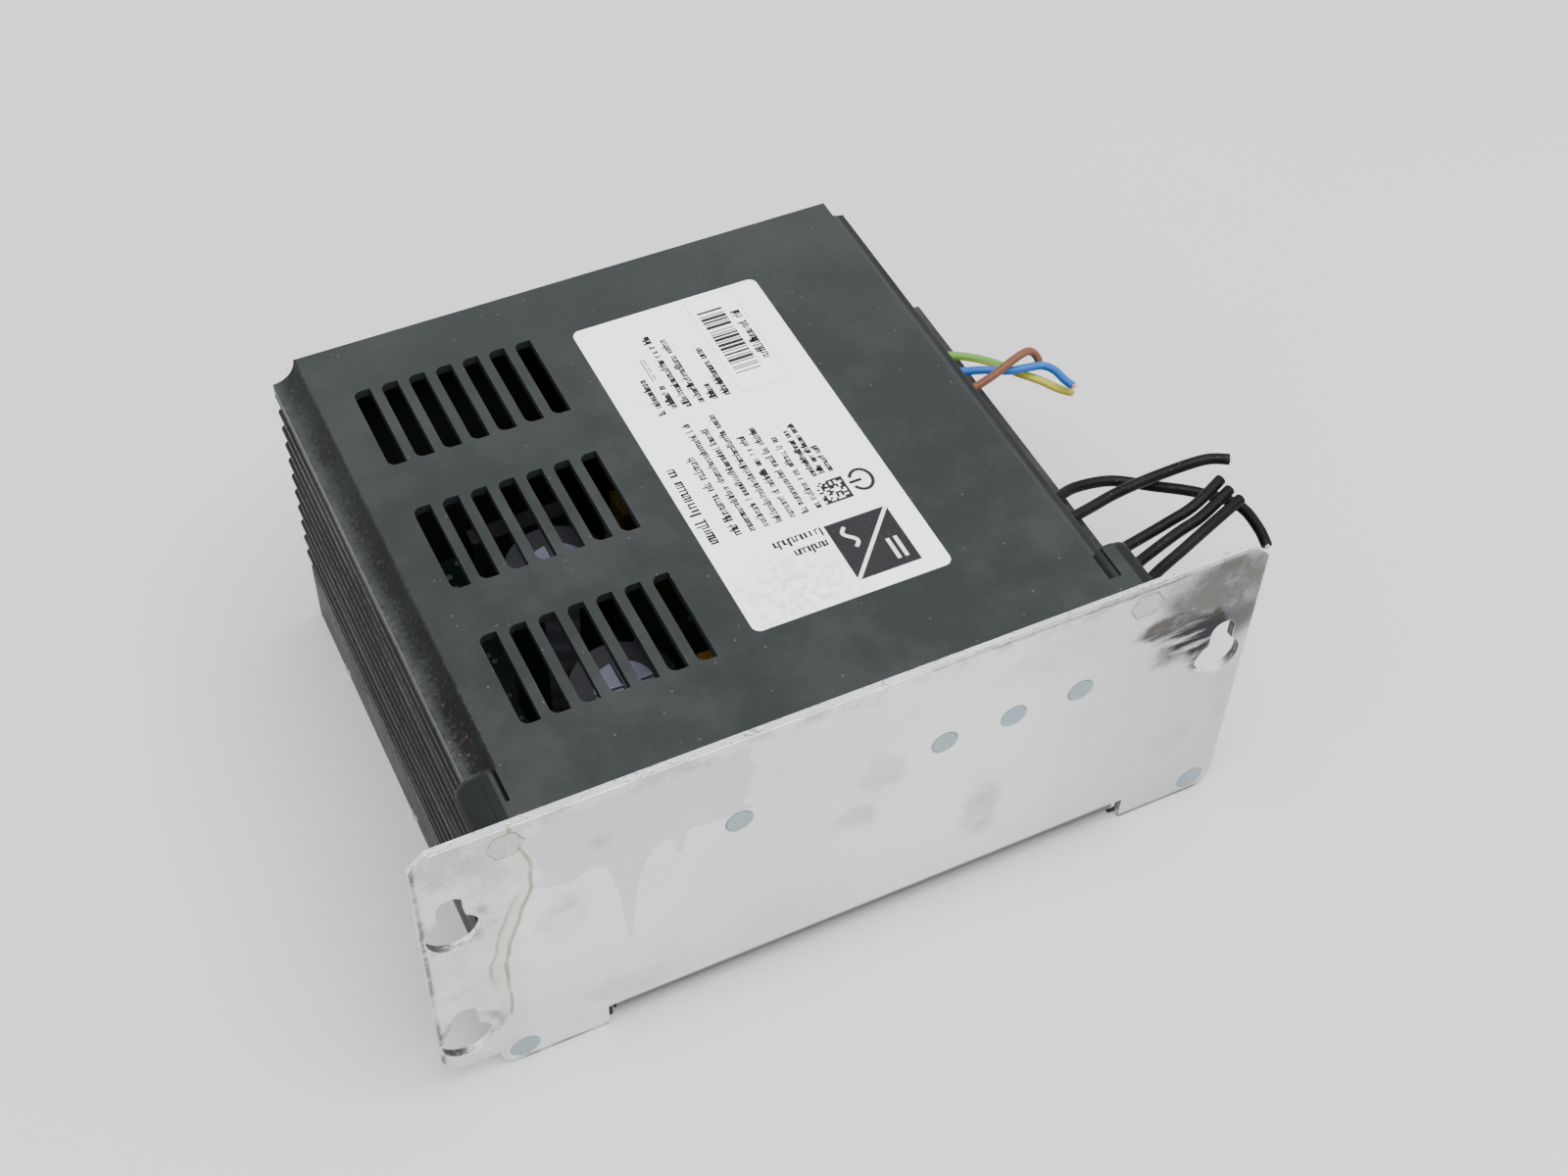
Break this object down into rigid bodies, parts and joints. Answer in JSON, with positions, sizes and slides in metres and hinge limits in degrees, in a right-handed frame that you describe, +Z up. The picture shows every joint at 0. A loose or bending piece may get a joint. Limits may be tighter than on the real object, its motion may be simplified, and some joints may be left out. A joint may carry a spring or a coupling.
{
  "type": "industrial power supply",
  "caption": "Enclosed mains power supply on a keyhole mounting plate, with a vented plastic hood, ribbed heatsink, screw terminals and cut wires.",
  "frame": {"origin": "middle of the underside, at the plate's lower edge, without the wires", "axes": "+X across the mounting plate towards the wire side, +Y from the plate back along the housing, +Z up to the vented top"},
  "size_m": [0.2337, 0.144, 0.0887],
  "materials": {
    "plate_metal": "satin mill-finish sheet with stains and scratches",
    "zinc": "blue zinc-plated steel",
    "steel": "bright zinc-plated steel",
    "hood_plastic": "fine-grained slate grey moulding",
    "base_plastic": "fine-grained dark grey moulding",
    "label_film": "printed polyester film",
    "sticker_paper": "thermal print sticker",
    "anodised_heatsink": "black anodised extrusion with dust",
    "board_laminate": "glass-epoxy laminate with solder mask",
    "copper": "bare or enamelled copper",
    "capacitor_sleeve": "shrink sleeve",
    "dark_sleeve": "shrink sleeve",
    "black_epoxy": "moulding compound",
    "ferrite": "sintered ferrite",
    "yellow_tape": "polyester winding tape",
    "yellow_box": "moulded box",
    "fuse_ceramic": "ceramic tube",
    "contact_metal": "tinned spring brass",
    "terminal_plastic": "grey polyamide",
    "trimmer_blue": "moulded case",
    "white_plastic": "moulded rotor",
    "pad_film": "silicone pad",
    "insulation_green_yellow": "soft PVC, green with a yellow stripe",
    "insulation_blue": "soft PVC",
    "insulation_brown": "soft PVC",
    "insulation_black": "soft PVC"
  },
  "bodies": {
    "housing": {"mounting_plate": "plate_metal", "plate_studs": "zinc", "stud_nuts": "steel", "hex_standoffs": "zinc", "hood_screws": "steel", "corner_studs": "zinc", "hood": "hood_plastic", "base_shell": "base_plastic", "rating_label": "label_film", "serial_sticker": "sticker_paper", "heatsink": "anodised_heatsink", "heatsink_screws": "steel", "power_devices": "black_epoxy", "device_pads": "pad_film", "main_board": "board_laminate", "board_screws": "steel", "connection_board": "board_laminate", "link_bars": "copper", "bulk_capacitors": "capacitor_sleeve", "bridge_rectifier": "black_epoxy", "transformer_core": "ferrite", "transformer_coil": "yellow_tape", "output_inductor": "copper", "output_capacitors": "dark_sleeve", "choke_core": "ferrite", "choke_windings": "copper", "interference_capacitors": "yellow_box", "fuse": "fuse_ceramic", "fuse_clips": "contact_metal", "control_chips": "black_epoxy", "mains_terminal_block": "terminal_plastic", "output_terminal_block_a": "terminal_plastic", "output_terminal_block_b": "terminal_plastic", "trimmer_body": "trimmer_blue", "terminal_tongues": "contact_metal", "wire_green_yellow": "insulation_green_yellow", "wire_blue": "insulation_blue", "wire_brown": "insulation_brown", "wire_black_1": "insulation_black", "wire_black_2": "insulation_black", "wire_black_3": "insulation_black", "wire_black_4": "insulation_black", "wire_black_5": "insulation_black"},
    "screw_green_yellow": {"clamp_screw_green_yellow": "steel"},
    "cage_green_yellow": {"clamp_cage_green_yellow": "contact_metal"},
    "screw_blue": {"clamp_screw_blue": "steel"},
    "cage_blue": {"clamp_cage_blue": "contact_metal"},
    "screw_brown": {"clamp_screw_brown": "steel"},
    "cage_brown": {"clamp_cage_brown": "contact_metal"},
    "screw_black_1": {"clamp_screw_black_1": "steel"},
    "cage_black_1": {"clamp_cage_black_1": "contact_metal"},
    "screw_black_2": {"clamp_screw_black_2": "steel"},
    "cage_black_2": {"clamp_cage_black_2": "contact_metal"},
    "screw_black_3": {"clamp_screw_black_3": "steel"},
    "cage_black_3": {"clamp_cage_black_3": "contact_metal"},
    "screw_black_4": {"clamp_screw_black_4": "steel"},
    "cage_black_4": {"clamp_cage_black_4": "contact_metal"},
    "screw_black_5": {"clamp_screw_black_5": "steel"},
    "cage_black_5": {"clamp_cage_black_5": "contact_metal"},
    "trimmer": {"trimmer_rotor": "white_plastic"}
  },
  "joints": [
    {"name": "screw_turn_green_yellow", "type": "hinge", "parent": "housing", "child": "screw_green_yellow", "pos_m": [0.0725, 0.05, 0.054], "axis": [0, 0, 1], "range_deg": [0, 1440]},
    {"name": "cage_drop_green_yellow", "type": "slide", "parent": "housing", "child": "cage_green_yellow", "axis": [0, 0, -1], "range_m": [0, 0.002]},
    {"name": "screw_turn_blue", "type": "hinge", "parent": "housing", "child": "screw_blue", "pos_m": [0.0725, 0.0425, 0.054], "axis": [0, 0, 1], "range_deg": [0, 1440]},
    {"name": "cage_drop_blue", "type": "slide", "parent": "housing", "child": "cage_blue", "axis": [0, 0, -1], "range_m": [0, 0.002]},
    {"name": "screw_turn_brown", "type": "hinge", "parent": "housing", "child": "screw_brown", "pos_m": [0.0725, 0.035, 0.054], "axis": [0, 0, 1], "range_deg": [0, 1440]},
    {"name": "cage_drop_brown", "type": "slide", "parent": "housing", "child": "cage_brown", "axis": [0, 0, -1], "range_m": [0, 0.002]},
    {"name": "screw_turn_black_1", "type": "hinge", "parent": "housing", "child": "screw_black_1", "pos_m": [0.0725, -0.009, 0.054], "axis": [0, 0, 1], "range_deg": [0, 1440]},
    {"name": "cage_drop_black_1", "type": "slide", "parent": "housing", "child": "cage_black_1", "axis": [0, 0, -1], "range_m": [0, 0.002]},
    {"name": "screw_turn_black_2", "type": "hinge", "parent": "housing", "child": "screw_black_2", "pos_m": [0.0725, -0.0165, 0.054], "axis": [0, 0, 1], "range_deg": [0, 1440]},
    {"name": "cage_drop_black_2", "type": "slide", "parent": "housing", "child": "cage_black_2", "axis": [0, 0, -1], "range_m": [0, 0.002]},
    {"name": "screw_turn_black_3", "type": "hinge", "parent": "housing", "child": "screw_black_3", "pos_m": [0.0725, -0.0315, 0.054], "axis": [0, 0, 1], "range_deg": [0, 1440]},
    {"name": "cage_drop_black_3", "type": "slide", "parent": "housing", "child": "cage_black_3", "axis": [0, 0, -1], "range_m": [0, 0.002]},
    {"name": "screw_turn_black_4", "type": "hinge", "parent": "housing", "child": "screw_black_4", "pos_m": [0.0725, -0.039, 0.054], "axis": [0, 0, 1], "range_deg": [0, 1440]},
    {"name": "cage_drop_black_4", "type": "slide", "parent": "housing", "child": "cage_black_4", "axis": [0, 0, -1], "range_m": [0, 0.002]},
    {"name": "screw_turn_black_5", "type": "hinge", "parent": "housing", "child": "screw_black_5", "pos_m": [0.0725, -0.0465, 0.054], "axis": [0, 0, 1], "range_deg": [0, 1440]},
    {"name": "cage_drop_black_5", "type": "slide", "parent": "housing", "child": "cage_black_5", "axis": [0, 0, -1], "range_m": [0, 0.002]},
    {"name": "trimmer_turn", "type": "hinge", "parent": "housing", "child": "trimmer", "pos_m": [0.0725, -0.05675, 0.043], "axis": [0, 0, 1], "range_deg": [-130, 130]}
  ],
  "couplings": [
    {"joint": "screw_turn_green_yellow", "follows": "cage_drop_green_yellow", "rad_per_m": 12566},
    {"joint": "screw_turn_blue", "follows": "cage_drop_blue", "rad_per_m": 12566},
    {"joint": "screw_turn_brown", "follows": "cage_drop_brown", "rad_per_m": 12566},
    {"joint": "screw_turn_black_1", "follows": "cage_drop_black_1", "rad_per_m": 12566},
    {"joint": "screw_turn_black_2", "follows": "cage_drop_black_2", "rad_per_m": 12566},
    {"joint": "screw_turn_black_3", "follows": "cage_drop_black_3", "rad_per_m": 12566},
    {"joint": "screw_turn_black_4", "follows": "cage_drop_black_4", "rad_per_m": 12566},
    {"joint": "screw_turn_black_5", "follows": "cage_drop_black_5", "rad_per_m": 12566}
  ]
}
